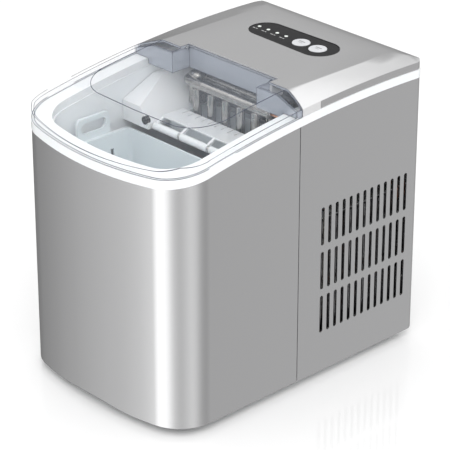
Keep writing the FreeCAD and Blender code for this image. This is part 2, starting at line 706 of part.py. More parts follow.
def make_basket():
    """Lift-out ice basket: open box with drain slots, a turned rim and two finger grips."""
    wall = dim("basket_wall")
    half = dim("basket_half")
    front = dim("basket_front")
    rear = dim("basket_rear")
    low = dim("basket_floor")
    top = dim("basket_top")
    corner = dim("basket_corner")
    bow = dim("front_radius")
    bottom_outer = plan_face(half - 5, front + 5, rear, bow, corner, 8.0, low).OuterWire
    top_outer = plan_face(half, front, rear, bow, corner, 8.0, top).OuterWire
    bottom_inner = plan_face(half - 5 - wall, front + 5 + wall, rear - wall, bow,
                             corner - wall, 6.0, low + wall).OuterWire
    top_inner = plan_face(half - wall, front + wall, rear - wall, bow, corner - wall, 6.0,
                          top + 0.01).OuterWire
    outer = Part.makeLoft([bottom_outer, top_outer], True, True)
    inner = Part.makeLoft([bottom_inner, top_inner], True, True)
    lip = offset_plan(half + 2, front - 2, rear, corner, top - 2.5, top, 8.0)
    lip_hole = offset_plan(half - wall, front + wall, rear - wall, corner - wall, top - 3, top + 1,
                           6.0)
    shell = outer.cut(inner).fuse(lip.cut(lip_hole))
    ears = [ear_frame(side) for side in (-1, 1)]
    for side in (-1, 1):
        reach = (side * (half - 0.5), side * 96.0)
        ears.append(solid_box(min(reach), max(reach), dim("ear_near"), dim("ear_far"),
                              top - 3.5, top))
    basket = shell.fuse(ears)
    slots = []
    for x in range(-72, 73, 12):
        slots.append(solid_box(x - 2, x + 2, -128, -62, low - 1, low + wall + 1))
    slots.append(solid_box(-100, 100, -72, -68, low + 62, low + 76))
    feature("ice_basket", basket.cut(Part.makeCompound(slots)).removeSplitter())


# ---------------------------------------------------------------- ice works

def make_shovel():
    """Comb that sweeps ice forward; its sleeves turn on a steel shaft."""
    y = dim("rod_y")
    z = dim("rod_z")
    radius = dim("rod_radius")
    bore = dim("shaft_radius") + 0.05
    shapes = []
    half = dim("shovel_half")
    for start, end in ((-half, -22.0), (-18.0, 22.0), (26.0, half)):
        shapes.append(rod((start, y, z), (end, y, z), radius))
    low = dim("tray_top") + 1.6
    high = low + 1.8
    near = y + 10.0
    root = dim("tray_front") + 8.0
    tip = root + 11.0
    arm_wide = 3.0
    for x in (-half, -21.5, 18.5, half - arm_wide):
        arm = [Vector(x, y, z - 2), Vector(x, y, z + 3), Vector(x, near + 2, high),
               Vector(x, near + 2, low)]
        shapes.append(Part.Face(Part.makePolygon(arm + arm[:1])).extrude(Vector(arm_wide, 0, 0)))
    shapes.append(solid_box(-half, half, near, root + 1, low, high))
    teeth = 12
    pitch = 2 * half / teeth
    for tooth in range(teeth):
        x = -half + tooth * pitch
        shapes.append(solid_box(x + 0.7, x + pitch - 0.7, root, tip, low, high))
    shovel = merged(shapes).cut(rod((-80, y, z), (80, y, z), bore))
    feature("ice_shovel", shovel)
    shaft = cylinder("shaft_form", "Dims.shaft_radius", "182", (-91, y, z), (1, 0, 0))
    named(shaft, "shovel_shaft")


def make_tray():
    """Water tray: a rounded trough that tips its front lip down, with a pivot at each end."""
    half = dim("tray_half")
    front = dim("tray_front")
    rear = dim("tray_rear")
    low = dim("tray_floor")
    top = dim("tray_top")
    outer = solid_box(-half, half, front, rear, low, top)
    long_edges = [edge for edge in outer.Edges
                  if abs(edge.BoundBox.ZMax - low) < 1e-6 and edge.BoundBox.XLength > 50]
    outer = outer.makeFillet(14.0, long_edges)
    inner = solid_box(-half + 2, half - 2, front + 2, rear - 2, low + 2, top + 1)
    long_edges = [edge for edge in inner.Edges
                  if abs(edge.BoundBox.ZMax - low - 2) < 1e-6 and edge.BoundBox.XLength > 50]
    inner = inner.makeFillet(12.0, long_edges)
    shapes = [outer.cut(inner)]
    axis = (dim("tray_axis_y"), dim("tray_axis_z"))
    for side in (-1, 1):
        near = side * (half - 6)
        far = side * half
        shapes.append(solid_box(min(near, far), max(near, far), rear - 1, axis[0] + 5,
                                top - 9, top + 3))
        shapes.append(rod((side * (half - 3), *axis), (side * 99.4, *axis), 3.0))
    tray = merged(shapes)
    for side in (-1, 1):
        keep_out = rod((side * (half + 0.01), *axis), (side * 120, *axis), 3.0)
        tray = tray.cut(keep_out).fuse(rod((side * half, *axis), (side * 99.4, *axis), 3.0))
    feature("water_tray", tray.removeSplitter())


FINGER_XS = [-44.0, -22.0, 0.0, 22.0, 44.0]
FINGER_ROWS = (12.0, 32.0)
HOOD_FRONT = 38.5


def make_evaporator():
    top = dim("finger_top")
    low = dim("finger_bottom")
    radius = dim("finger_radius")
    fingers = []
    for row in FINGER_ROWS:
        for x in FINGER_XS:
            stem = Part.makeCylinder(radius, top - low - radius, Vector(x, row, low + radius))
            tip = Part.makeSphere(radius, Vector(x, row, low + radius))
            fingers.append(stem.fuse(tip).removeSplitter())
    feature("evaporator_fingers", Part.makeCompound(fingers))
    high = top + 5
    bend = (FINGER_ROWS[1] - FINGER_ROWS[0]) / 2
    points = [(58, 52, high), (58, FINGER_ROWS[1], high), (-64, FINGER_ROWS[1], high),
              (-64, FINGER_ROWS[0], high), (66, FINGER_ROWS[0], high)]
    tube = pipe(points, 5.0, bend - 0.4)
    # a round-topped header stands where the tube turns back
    header = Part.makeCylinder(9.5, 35, Vector(-56.5, 24, 265))
    header = header.makeFillet(5.0, [edge for edge in header.Edges if edge.BoundBox.ZMin > 299])
    feature("evaporator_tube", merged([tube, header]))
    shelf = solid_box(-80, 80, HOOD_FRONT, 62, 298, 302)
    curtain = solid_box(-60, 60, HOOD_FRONT, HOOD_FRONT + 3, 265, 300)
    passage = rod((58, HOOD_FRONT - 1, PIPE_Z), (58, HOOD_FRONT + 4, PIPE_Z), 6.4)
    feature("evaporator_hood", merged([shelf, curtain]).cut(passage))


def housing(side):
    """Gear and sensor housing beside the tray; its face slopes down to the tray."""
    near = -42.5
    far = 56.0
    outline = [(101.0, 250.0), (101.0, 291.0), (88.0, 291.0), (61.0, 256.0), (61.0, 250.0)]
    points = [Vector(side * x, near, z) for x, z in outline]
    wire = Part.makePolygon(points + points[:1])
    block = Part.Face(wire).extrude(Vector(0, far - near, 0))
    slope = Part.makePolygon([Vector(-200, near - 1, 272), Vector(-200, near + 46, 292),
                              Vector(-200, near + 46, 330), Vector(-200, near - 1, 330),
                              Vector(-200, near - 1, 272)])
    block = block.cut(Part.Face(slope).extrude(Vector(400, 0, 0)))
    for y, z, reach in ((dim("rod_y"), dim("rod_z"), 2.6),
                        (dim("tray_axis_y"), dim("tray_axis_z"), 3.4)):
        block = block.cut(rod((side * 50, y, z), (side * 110, y, z), reach))
    return block


def make_housings():
    left = housing(-1)
    window = Vector(-66.0, -42.5, 259.0)
    sensor_hole = rod((window.x, -44, window.z), (window.x, -38, window.z), 4.6)
    feature("left_housing", left.cut(sensor_hole))
    feature("right_housing", housing(1).cut(rod((66, -44, 259), (66, -38, 259), 4.6)))
    eyes = [rod((x, -43.2, window.z), (x, -38.4, window.z), 4.4) for x in (window.x, 66.0)]
    feature("ice_sensors", Part.makeCompound(eyes))
    motor_x = -106.0
    body = rod((motor_x - 12, dim("tray_axis_y"), dim("tray_axis_z")),
               (motor_x, dim("tray_axis_y"), dim("tray_axis_z")), 20.0)
    shaft = rod((motor_x, dim("tray_axis_y"), dim("tray_axis_z")),
                (-99.6, dim("tray_axis_y"), dim("tray_axis_z")), 2.9)
    feature("tray_motor", merged([body, shaft]))
    mast = rod((-80, 4, 66), (-80, 4, 180), 2.0)
    ball = rod((-80, 4, 110), (-80, 4, 122), 7.0)
    feature("level_sensor", merged([mast, ball, rod((-80, 4, 62), (-80, 4, 66), 6.0)]))


# ---------------------------------------------------------------- machine space

def make_water_parts():
    pump = merged([solid_box(-18, 18, -78, -42, PAN_TOP, 44),
                   rod((0, -60, 44), (0, -60, 52), 12.0),
                   rod((0, -60, 52), (0, -60, 61), 3.9)])
    feature("water_pump", pump)
    strainer = ring((0, -60, 62.2), (0, 0, 1), 10.0, 8.0, 10.0)
    cap = rod((0, -60, 72.2), (0, -60, 73.7), 10.0)
    feature("pump_strainer", merged([strainer, cap]))
    hose = pipe([(18.0, -60, 30), (32, -60, 30), (32, 27, 30), (32, 27, 184)], 4.0, 10.0)
    feature("water_hose", hose)
    spout = pipe([(-70, DRAIN_Y, 61.5), (-70, DRAIN_Y, DRAIN_Z), (-112, DRAIN_Y, DRAIN_Z)],
                 3.9, 10.0)
    cup = ring((-121.0, DRAIN_Y, DRAIN_Z), (1, 0, 0), DRAIN_RADIUS + 3, 13.4, 9.0)
    back = rod((-112, DRAIN_Y, DRAIN_Z), (-110, DRAIN_Y, DRAIN_Z), DRAIN_RADIUS + 3)
    feature("drain_spout", merged([spout, cup, back]))
    disc = rod((-123.2, DRAIN_Y, DRAIN_Z), (-113, DRAIN_Y, DRAIN_Z), 12.9)
    scoops = []
    for side in (-1, 1):
        scoop = rod((-126, DRAIN_Y + side * 9.5, DRAIN_Z), (-118, DRAIN_Y + side * 9.5, DRAIN_Z),
                    6.5)
        scoops.append(scoop.common(rod((-126, DRAIN_Y, DRAIN_Z), (-110, DRAIN_Y, DRAIN_Z), 11.2)))
    feature("drain_cap", disc.cut(scoops[0]).cut(scoops[1]))


def make_compressor():
    x = dim("compressor_x")
    y = dim("compressor_y")
    radius = dim("compressor_radius")
    low = dim("compressor_bottom")
    high = dim("compressor_high")
    shell = Part.makeCylinder(radius, high, Vector(x, y, low))
    rims = [edge for edge in shell.Edges if edge.BoundBox.ZLength < 1e-6]
    shell = shell.makeFillet(22.0, rims)
    weld = Part.makeCylinder(radius + 1.5, 5, Vector(x, y, low + high / 2))
    hollow = shell.copy()
    hollow.scale(0.94, Vector(x, y, low + high / 2))
    feature("compressor", merged([shell, weld]).cut(hollow))
    plate = solid_box(x - 46, x + 46, y - 46, y + 46, low - 2.5, low)
    spots = [(x + dx, y + dy) for dx in (-40, 40) for dy in (-40, 40)]
    for spot in spots:
        plate = plate.cut(Part.makeCylinder(4.2, 9, Vector(*spot, low - 5)))
    feature("compressor_plate", plate)
    bushes = []
    bolts = []
    for spot in spots:
        bush = Part.makeCylinder(6.0, low - 2.5 - PAN_TOP, Vector(*spot, PAN_TOP))
        neck = Part.makeCylinder(4.0, 2.5, Vector(*spot, low - 2.5))
        bore = Part.makeCylinder(2.1, 20, Vector(*spot, PAN_TOP - 1))
        bushes.append(merged([bush, neck]).cut(bore))
        shank = Part.makeCylinder(2.0, low - PAN_TOP, Vector(*spot, PAN_TOP))
        head = Part.makeCylinder(5.0, 2.4, Vector(*spot, low))
        bolts.append(merged([shank, head]))
    feature("compressor_bushes", Part.makeCompound(bushes))
    feature("compressor_bolts", Part.makeCompound(bolts))
    cap = solid_box(x + radius + 1.6, x + radius + 12, y - 16, y + 16, low + 40, low + 84)
    feature("terminal_cover", cap)


def make_cooling():
    fins = []
    for count in range(27):
        y = 39.0 + count * 4.2
        fins.append(solid_box(84, 112, y, y + 0.5, 24, 176))
    holes = []
    heights = [36.0, 66.0, 96.0, 126.0, 156.0]
    for z in heights:
        holes.append(rod((98, 20, z), (98, 170, z), 3.3))
    block = Part.makeCompound(fins).cut(Part.makeCompound(holes))
    plates = [solid_box(82, 114, y, y + 1.2, 20, 180) for y in (36.0, 152.0)]
    frame = [plate.cut(Part.makeCompound(holes)) for plate in plates]
    ties = [solid_box(82, 114, 36.0, 153.2, z, z + 1.2) for z in (18.8, 180.0)]
    feature("condenser_fins", Part.makeCompound(block.Solids))
    feature("condenser_frame", merged(frame + ties))
    points = [(98, 27, heights[0])]
    for index, z in enumerate(heights):
        far = 164 if index % 2 == 0 else 24.5
        points.append((98, far, z))
        if index + 1 < len(heights):
            points.append((98, far, heights[index + 1]))
    points[-1] = (98, 160, heights[-1])
    feature("condenser_tube", pipe(points, 3.0, 10.0))
    y = dim("fan_y")
    z = dim("fan_z")
    radius = dim("fan_radius")
    shroud = solid_box(62, 81.5, y - 58, y + 58, z - 58, z + 58)
    shroud = shroud.cut(rod((60, y, z), (90, y, z), radius + 3))
    feature("fan_shroud", shroud)
    motor = rod((28, y, z), (52, y, z), 20.0)
    arms = solid_box(40, 44, y - 58, y + 58, z - 5, z + 5)
    tabs = [solid_box(40, 62, y + side * 58 - 3, y + side * 58 + 3, z - 5, z + 5)
            for side in (-1, 1)]
    shaft = rod((52, y, z), (72, y, z), 2.0)
    feature("fan_motor", merged([motor, arms, shaft] + tabs))
    hub = rod((60, y, z), (76, y, z), 11.0)
    blades = []
    for count in range(5):
        blade = solid_box(66.5, 68.5, y - 13, y + 13, z + 8, z + radius)
        blade = blade.common(rod((60, y, z), (90, y, z), radius))
        blade.rotate(Vector(67.5, y, z), Vector(0, 0, 1), 24)
        blade.rotate(Vector(67.5, y, z), Vector(1, 0, 0), count * 72.0)
        blades.append(blade)
    fan = merged([hub] + blades).cut(rod((58, y, z), (72.02, y, z), 2.04))
    feature("fan_blade", fan)


def make_circuit():
    """Refrigerant piping from compressor to condenser, drier and evaporator, and back."""
    x = dim("compressor_x")
    y = dim("compressor_y")
    top = dim("compressor_bottom") + dim("compressor_high")
    discharge = pipe([(x + 20, y, top), (x + 20, y, top + 10), (x + 20, 172, top + 10),
                      (98, 172, top + 10), (98, 172, 156.0), (98, 160, 156.0)], 2.5, 6.0)
    feature("discharge_pipe", discharge)
    suction = pipe([(x - 20, y, top), (x - 20, y, top + 14), (x - 20, 82, top + 14),
                    (x - 20, 82, 291), (58, 82, 291), (58, 52, 291)], 3.5, 10.0)
    feature("suction_pipe", suction)
    drier = [rod((20, 166, 40), (20, 166, 110), 8.0), rod((20, 166, 34), (20, 166, 40), 3.0),
             rod((20, 166, 110), (20, 166, 116), 3.0)]
    feature("filter_drier", merged(drier))
    capillary = pipe([(20, 166, 116), (20, 166, 205), (76, 150, 215), (76, 90, 291),
                      (76, 12, 291), (66, 12, 291)], 1.2, 4.0)
    feature("capillary_tube", capillary)
    valve = [solid_box(10, 26, 126, 142, 120, 140), rod((18, 134, 140), (18, 134, 164), 7.0)]
    feature("hot_gas_valve", merged(valve))
    board = solid_box(-60, 60, 90, 160, 262, 263.6)
    parts = [solid_box(-50, -20, 100, 130, 263.6, 285), rod((10, 120, 263.6), (10, 120, 290), 8.0),
             solid_box(30, 50, 100, 116, 263.6, 282), rod((40, 145, 263.6), (40, 145, 280), 5.0)]
    feature("main_board", merged([board] + parts))
    rails = [solid_box(side * 64 - 4, side * 64 + 4, 88, 168, 256, 262) for side in (-1, 1)]
    arms = [solid_box(side * 93 - 28, side * 93 + 28, 140, 150, 256, 262) for side in (-1, 1)]
    feature("board_carrier", merged(rails + arms + [solid_box(-68, 68, 88, 94, 256, 262)]))


def make_small_parts():
    gland = rod((GLAND_X, 168, GLAND_Z), (GLAND_X, 179.9, GLAND_Z), 5.8)
    flange = rod((GLAND_X, 168, GLAND_Z), (GLAND_X, 177.0, GLAND_Z), 9.0)
    bore = rod((GLAND_X, 160, GLAND_Z), (GLAND_X, 190, GLAND_Z), 3.5)
    feature("cord_gland", merged([gland, flange]).cut(bore))
    back = []
    for x, z in BACK_SCREWS:
        back.append(merged([rod((x, 174, z), (x, 179.5, z), 1.7),
                            rod((x, 179.42, z), (x, 180, z), 3.2)]))
    feature("back_screws", Part.makeCompound(back))
    cover = []
    for x, y in COVER_SCREWS:
        base = arc_height(y, dim("band_high"))
        under = arc_height(y) - 0.4
        head = Part.makeCylinder(2.6, 1.5, Vector(x, y, under - 1.5))
        cover.append(merged([head, Part.makeCylinder(1.25, base + 6 - under, Vector(x, y, under))]))
    feature("cover_screws", Part.makeCompound(cover))
    base = []
    for x, y in FOOT_SPOTS:
        base.append(merged([Part.makeCylinder(2.1, PAN_TOP - 3.0, Vector(x, y, 3.0)),
                            Part.makeCylinder(4.6, 1.4, Vector(x, y, 1.6))]))
    feature("foot_screws", Part.makeCompound(base))


# ---------------------------------------------------------------- build, check and write

make_base_pan()
make_feet()
make_shells()
make_upper_frame()
make_lid()
make_hinge_pins()
make_cover()
make_panel()
make_tub()
make_basket()
make_shovel()
make_tray()
make_evaporator()
make_housings()
make_water_parts()
make_compressor()
make_cooling()
make_circuit()
make_small_parts()
doc.recompute()

for thing in doc.Objects:
    if "Invalid" in thing.State or "Error" in thing.State:
        raise RuntimeError("%s did not compute: %s" % (thing.Label, thing.State))
for node in NODES:
    if node.Shape.isNull() or not node.Shape.isValid() or not node.Shape.Solids:
        raise RuntimeError("%s has no valid solid" % node.Label)

os.makedirs("parts", exist_ok=True)
for node in NODES:
    node.Shape.exportStep("parts/%s.step" % node.Label)
print(len(NODES), "sub-parts written")
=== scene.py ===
import math
import bpy
import bmesh
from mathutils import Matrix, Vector


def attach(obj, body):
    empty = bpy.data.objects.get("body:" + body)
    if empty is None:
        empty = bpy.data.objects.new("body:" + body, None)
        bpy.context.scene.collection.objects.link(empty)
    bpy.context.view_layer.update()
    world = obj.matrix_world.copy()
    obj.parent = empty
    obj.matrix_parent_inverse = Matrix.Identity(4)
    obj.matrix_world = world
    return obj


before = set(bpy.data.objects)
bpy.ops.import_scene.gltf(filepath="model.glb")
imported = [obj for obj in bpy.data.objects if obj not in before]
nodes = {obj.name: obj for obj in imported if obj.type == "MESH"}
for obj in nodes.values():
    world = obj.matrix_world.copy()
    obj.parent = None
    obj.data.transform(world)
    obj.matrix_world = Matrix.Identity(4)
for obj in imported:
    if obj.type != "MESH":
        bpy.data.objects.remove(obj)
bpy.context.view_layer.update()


# ---------------------------------------------------------------- base pan and feet
# The pan is a galvanised steel pressing with its edge turned up inside the shells.
# Four black rubber feet are screwed through it from below.

def finish_mesh(name, width=0.0004, angle=32.0, segments=2):
    """Rounds a CAD node's sharp edges by a maker's small radius and shades it smoothly."""
    thing = nodes[name]
    mesh = thing.data
    for attribute in ("custom_normal", "sharp_face", "sharp_edge"):
        if attribute in mesh.attributes:
            mesh.attributes.remove(mesh.attributes[attribute])
    mesh.shade_smooth()
    weld = thing.modifiers.new("weld", "WELD")
    weld.merge_threshold = 0.00001
    if width:
        bevel = thing.modifiers.new("edge round", "BEVEL")
        bevel.limit_method = "ANGLE"
        bevel.angle_limit = math.radians(angle)
        bevel.width = width
        bevel.segments = segments
        bevel.use_clamp_overlap = True
        bevel.harden_normals = True
    normals = thing.modifiers.new("normals", "WEIGHTED_NORMAL")
    normals.keep_sharp = True
    return thing


def new_material(name, colour, roughness, metallic=0.0, coat=0.0, coat_roughness=0.1):
    """A surface whose constant values sit on the shader's own sockets."""
    material = bpy.data.materials.new(name)
    material.use_nodes = True
    shader = material.node_tree.nodes["Principled BSDF"]
    shader.inputs["Base Color"].default_value = (*colour, 1.0)
    shader.inputs["Roughness"].default_value = roughness
    shader.inputs["Metallic"].default_value = metallic
    shader.inputs["Coat Weight"].default_value = coat
    shader.inputs["Coat Roughness"].default_value = coat_roughness
    return material


def noise(material, scale, detail=4.0, stretch=(1.0, 1.0, 1.0)):
    """Noise in the object's own space; scale counts cells per metre."""
    tree = material.node_tree
    coordinates = tree.nodes.new("ShaderNodeTexCoord")
    mapping = tree.nodes.new("ShaderNodeMapping")
    mapping.inputs["Scale"].default_value = stretch
    texture = tree.nodes.new("ShaderNodeTexNoise")
    texture.inputs["Scale"].default_value = scale
    texture.inputs["Detail"].default_value = detail
    tree.links.new(coordinates.outputs["Object"], mapping.inputs["Vector"])
    tree.links.new(mapping.outputs["Vector"], texture.inputs["Vector"])
    return texture.outputs["Fac"]


def mottle(material, dark, light, scale, stretch=(1.0, 1.0, 1.0)):
    """Slow colour variation between two near colours."""
    tree = material.node_tree
    ramp = tree.nodes.new("ShaderNodeValToRGB")
    ramp.color_ramp.elements[0].position = 0.3
    ramp.color_ramp.elements[1].position = 0.7
    ramp.color_ramp.elements[0].color = (*dark, 1.0)
    ramp.color_ramp.elements[1].color = (*light, 1.0)
    tree.links.new(noise(material, scale, stretch=stretch), ramp.inputs["Fac"])
    tree.links.new(ramp.outputs["Color"], tree.nodes["Principled BSDF"].inputs["Base Color"])


def uneven_gloss(material, low, high, scale, stretch=(1.0, 1.0, 1.0)):
    """Roughness that drifts between two values."""
    tree = material.node_tree
    spread = tree.nodes.new("ShaderNodeMapRange")
    spread.inputs["From Min"].default_value = 0.3
    spread.inputs["From Max"].default_value = 0.7
    spread.inputs["To Min"].default_value = low
    spread.inputs["To Max"].default_value = high
    tree.links.new(noise(material, scale, stretch=stretch), spread.inputs["Value"])
    tree.links.new(spread.outputs["Result"], tree.nodes["Principled BSDF"].inputs["Roughness"])


def grain(material, scale, strength, distance=0.0001, stretch=(1.0, 1.0, 1.0)):
    """Fine relief of the moulded, painted or rolled surface."""
    tree = material.node_tree
    bump = tree.nodes.new("ShaderNodeBump")
    bump.inputs["Strength"].default_value = strength
    bump.inputs["Distance"].default_value = distance
    tree.links.new(noise(material, scale, stretch=stretch), bump.inputs["Height"])
    tree.links.new(bump.outputs["Normal"], tree.nodes["Principled BSDF"].inputs["Normal"])


def dress(material, *names):
    """Puts one finish on each of these nodes."""
    for name in names:
        slots = nodes[name].data.materials
        slots.clear()
        slots.append(material)


galvanised = new_material("galvanised steel", (0.52, 0.53, 0.54), 0.42, metallic=0.9)
mottle(galvanised, (0.42, 0.43, 0.44), (0.6, 0.61, 0.62), 90.0)
uneven_gloss(galvanised, 0.34, 0.52, 140.0)
grain(galvanised, 700.0, 0.2)
dress(galvanised, "base_pan", "compressor_plate", "condenser_frame")
finish_mesh("base_pan", 0.0003)

black_rubber = new_material("black rubber", (0.03, 0.03, 0.03), 0.75)
mottle(black_rubber, (0.022, 0.022, 0.022), (0.045, 0.044, 0.043), 160.0)
grain(black_rubber, 1600.0, 0.35)
dress(black_rubber, "rubber_feet", "compressor_bushes", "cord_gland")
finish_mesh("rubber_feet", 0.0004)
finish_mesh("cord_gland", 0.0005)
finish_mesh("compressor_bushes", 0.0003)

zinc = new_material("zinc plated steel", (0.66, 0.66, 0.64), 0.3, metallic=1.0)
mottle(zinc, (0.58, 0.58, 0.56), (0.72, 0.72, 0.7), 400.0)
grain(zinc, 2500.0, 0.2)
dress(zinc, "foot_screws", "back_screws", "cover_screws", "compressor_bolts", "hinge_pins",
      "shovel_shaft", "level_sensor")
for name in ("foot_screws", "back_screws", "compressor_bolts", "shovel_shaft", "level_sensor"):
    finish_mesh(name, 0.0002)


# ---------------------------------------------------------------- compressor and cooling
# A black enamelled steel pot on rubber bushes, piped in copper to a finned block that a
# plastic fan blows through. All of it stands on the base pan behind the vents.

enamel = new_material("black enamel", (0.02, 0.02, 0.022), 0.3, coat=0.5)
mottle(enamel, (0.014, 0.014, 0.016), (0.03, 0.03, 0.033), 60.0)
grain(enamel, 500.0, 0.25)
dress(enamel, "compressor")
finish_mesh("compressor", 0.0005)

black_plastic = new_material("black moulded plastic", (0.03, 0.031, 0.031), 0.5)
mottle(black_plastic, (0.022, 0.023, 0.023), (0.036, 0.037, 0.037), 70.0)
grain(black_plastic, 1800.0, 0.3)
# The evaporator hood is black plastic; its black behind the evaporator fingers also stands in
# for the shade in there: painted shade.
dress(black_plastic, "evaporator_hood", "fan_shroud", "fan_motor", "fan_blade",
      "terminal_cover", "water_pump", "pump_strainer", "tray_motor", "board_carrier")
for name in ("evaporator_hood", "fan_shroud", "fan_motor", "terminal_cover", "water_pump"):
    finish_mesh(name, 0.0005)

copper = new_material("drawn copper", (0.72, 0.36, 0.22), 0.32, metallic=1.0)
mottle(copper, (0.55, 0.26, 0.16), (0.8, 0.43, 0.28), 120.0)
grain(copper, 900.0, 0.15)
dress(copper, "condenser_tube", "suction_pipe", "discharge_pipe", "capillary_tube",
      "filter_drier", "hot_gas_valve")
for name in ("condenser_tube", "suction_pipe", "discharge_pipe", "capillary_tube"):
    finish_mesh(name, 0.0)

aluminium = new_material("aluminium fin stock", (0.78, 0.79, 0.8), 0.35, metallic=1.0)
mottle(aluminium, (0.68, 0.69, 0.7), (0.82, 0.83, 0.84), 200.0)
grain(aluminium, 1500.0, 0.15, stretch=(1.0, 1.0, 8.0))
dress(aluminium, "condenser_fins")

solder_mask = new_material("green circuit board", (0.02, 0.16, 0.07), 0.35, coat=0.4)
mottle(solder_mask, (0.015, 0.12, 0.05), (0.03, 0.2, 0.09), 300.0)
grain(solder_mask, 900.0, 0.2)
dress(solder_mask, "display_board", "main_board")


# ---------------------------------------------------------------- water parts
# The silicone hose and the grey drain fittings carry the melt water; the drain cap turns
# a quarter turn to come off. Foam round the tub keeps the cold in.

silicone = new_material("milky silicone", (0.78, 0.79, 0.77), 0.35)
mottle(silicone, (0.72, 0.73, 0.71), (0.82, 0.83, 0.81), 90.0)
grain(silicone, 700.0, 0.1)
dress(silicone, "water_hose")
finish_mesh("water_hose", 0.0)

grey_plastic = new_material("grey moulded plastic", (0.4, 0.4, 0.41), 0.45)
mottle(grey_plastic, (0.37, 0.37, 0.38), (0.43, 0.43, 0.44), 60.0)
grain(grey_plastic, 1800.0, 0.3)
dress(grey_plastic, "drain_spout", "drain_cap")
finish_mesh("drain_cap", 0.0006)

foam = new_material("closed-cell foam", (0.85, 0.82, 0.74), 0.9)
mottle(foam, (0.78, 0.75, 0.66), (0.88, 0.86, 0.79), 220.0)
grain(foam, 900.0, 0.6, 0.0004)
dress(foam, "tub_foam")


# ---------------------------------------------------------------- tub, tray and shovel
# Glossy white food-grade plastic: the tub, the tipping water tray, the comb on its shaft
# and the two housings that carry them. They clip and screw together inside the tub.

gloss_white = new_material("gloss white plastic", (0.86, 0.87, 0.88), 0.22, coat=0.4,
                           coat_roughness=0.06)
gloss_white.node_tree.nodes["Principled BSDF"].inputs["Subsurface Weight"].default_value = 0.05
mottle(gloss_white, (0.84, 0.85, 0.86), (0.88, 0.89, 0.9), 25.0)
uneven_gloss(gloss_white, 0.18, 0.28, 120.0)
grain(gloss_white, 350.0, 0.05)
dress(gloss_white, "tub", "ice_shovel", "left_housing", "right_housing", "upper_frame")

pale_plastic = new_material("pale basket plastic", (0.8, 0.85, 0.87), 0.2, coat=0.4,
                            coat_roughness=0.06)
pale_plastic.node_tree.nodes["Principled BSDF"].inputs["Subsurface Weight"].default_value = 0.05
mottle(pale_plastic, (0.78, 0.83, 0.85), (0.82, 0.87, 0.89), 30.0)
uneven_gloss(pale_plastic, 0.16, 0.26, 120.0)
grain(pale_plastic, 350.0, 0.05)
dress(pale_plastic, "ice_basket", "water_tray")
finish_mesh("tub", 0.0008)
finish_mesh("water_tray", 0.0006)
finish_mesh("ice_shovel", 0.0005)
finish_mesh("left_housing", 0.0018, segments=3)
finish_mesh("right_housing", 0.0018, segments=3)
finish_mesh("ice_basket", 0.0006)
finish_mesh("upper_frame", 0.0012, segments=3)

plated = new_material("bright nickel plate", (0.38, 0.37, 0.35), 0.16, metallic=1.0)
mottle(plated, (0.3, 0.29, 0.27), (0.44, 0.43, 0.41), 130.0)
uneven_gloss(plated, 0.12, 0.3, 240.0)
grain(plated, 500.0, 0.2)
dress(plated, "evaporator_tube", "evaporator_fingers")
finish_mesh("evaporator_tube", 0.0)
finish_mesh("evaporator_fingers", 0.0)

sensor_black = new_material("smoked sensor window", (0.01, 0.01, 0.012), 0.12, coat=0.6)
mottle(sensor_black, (0.006, 0.006, 0.008), (0.016, 0.015, 0.018), 200.0)
grain(sensor_black, 400.0, 0.05)
dress(sensor_black, "ice_sensors")


# ---------------------------------------------------------------- outer shells
# Two wrap-round shells in metallic silver paint, front and rear, that meet on the flanks
# in a shallow groove; screwed to the pan below and held by the white frame above.

silver = new_material("metallic silver paint", (0.6, 0.6, 0.605), 0.24, metallic=1.0, coat=0.2,
                      coat_roughness=0.12)
mottle(silver, (0.585, 0.585, 0.59), (0.615, 0.615, 0.62), 900.0)
uneven_gloss(silver, 0.21, 0.27, 1400.0)
grain(silver, 2600.0, 0.08)
dress(silver, "front_shell", "rear_shell")


NOTCH_REAR_Y = 0.0262
LEVEL_ENOUGH = 0.5


def painted_cover():
    """Silver paint outside; the notch behind the lid is left as bare pale plastic."""
    material = silver.copy()
    material.name = "painted rear cover"
    tree = material.node_tree
    shader = tree.nodes["Principled BSDF"]
    coordinates = tree.nodes.new("ShaderNodeTexCoord")
    place = tree.nodes.new("ShaderNodeSeparateXYZ")
    tree.links.new(coordinates.outputs["Object"], place.inputs["Vector"])
    facing = tree.nodes.new("ShaderNodeSeparateXYZ")
    tree.links.new(coordinates.outputs["Normal"], facing.inputs["Vector"])
    behind = tree.nodes.new("ShaderNodeMath")
    behind.operation = "GREATER_THAN"
    behind.inputs[1].default_value = NOTCH_REAR_Y
    tree.links.new(place.outputs["Y"], behind.inputs[0])
    above = tree.nodes.new("ShaderNodeMath")
    above.operation = "GREATER_THAN"
    above.inputs[1].default_value = LEVEL_ENOUGH
    tree.links.new(facing.outputs["Z"], above.inputs[0])
    paint = tree.nodes.new("ShaderNodeMath")
    paint.operation = "MAXIMUM"
    tree.links.new(behind.outputs["Value"], paint.inputs[0])
    tree.links.new(above.outputs["Value"], paint.inputs[1])
    tree.links.new(paint.outputs["Value"], shader.inputs["Metallic"])
    return material


dress(painted_cover(), "top_cover")
finish_mesh("front_shell", 0.0004)
finish_mesh("rear_shell", 0.0004)
finish_mesh("top_cover", 0.0008, segments=3)


# ---------------------------------------------------------------- control panel
# A black gloss fascia let into the cover, with two satin white buttons and four small
# clear lamp lenses over the board.

panel_black = new_material("gloss black fascia", (0.012, 0.012, 0.013), 0.22)
panel_black.node_tree.nodes["Principled BSDF"].inputs["Specular IOR Level"].default_value = 0.08
mottle(panel_black, (0.009, 0.009, 0.01), (0.016, 0.016, 0.017), 150.0)
grain(panel_black, 500.0, 0.04)
dress(panel_black, "control_fascia")
finish_mesh("control_fascia", 0.0003)

legend_ink = new_material("pale grey legend ink", (0.5, 0.5, 0.5), 0.6)
mottle(legend_ink, (0.42, 0.42, 0.42), (0.56, 0.56, 0.56), 900.0)


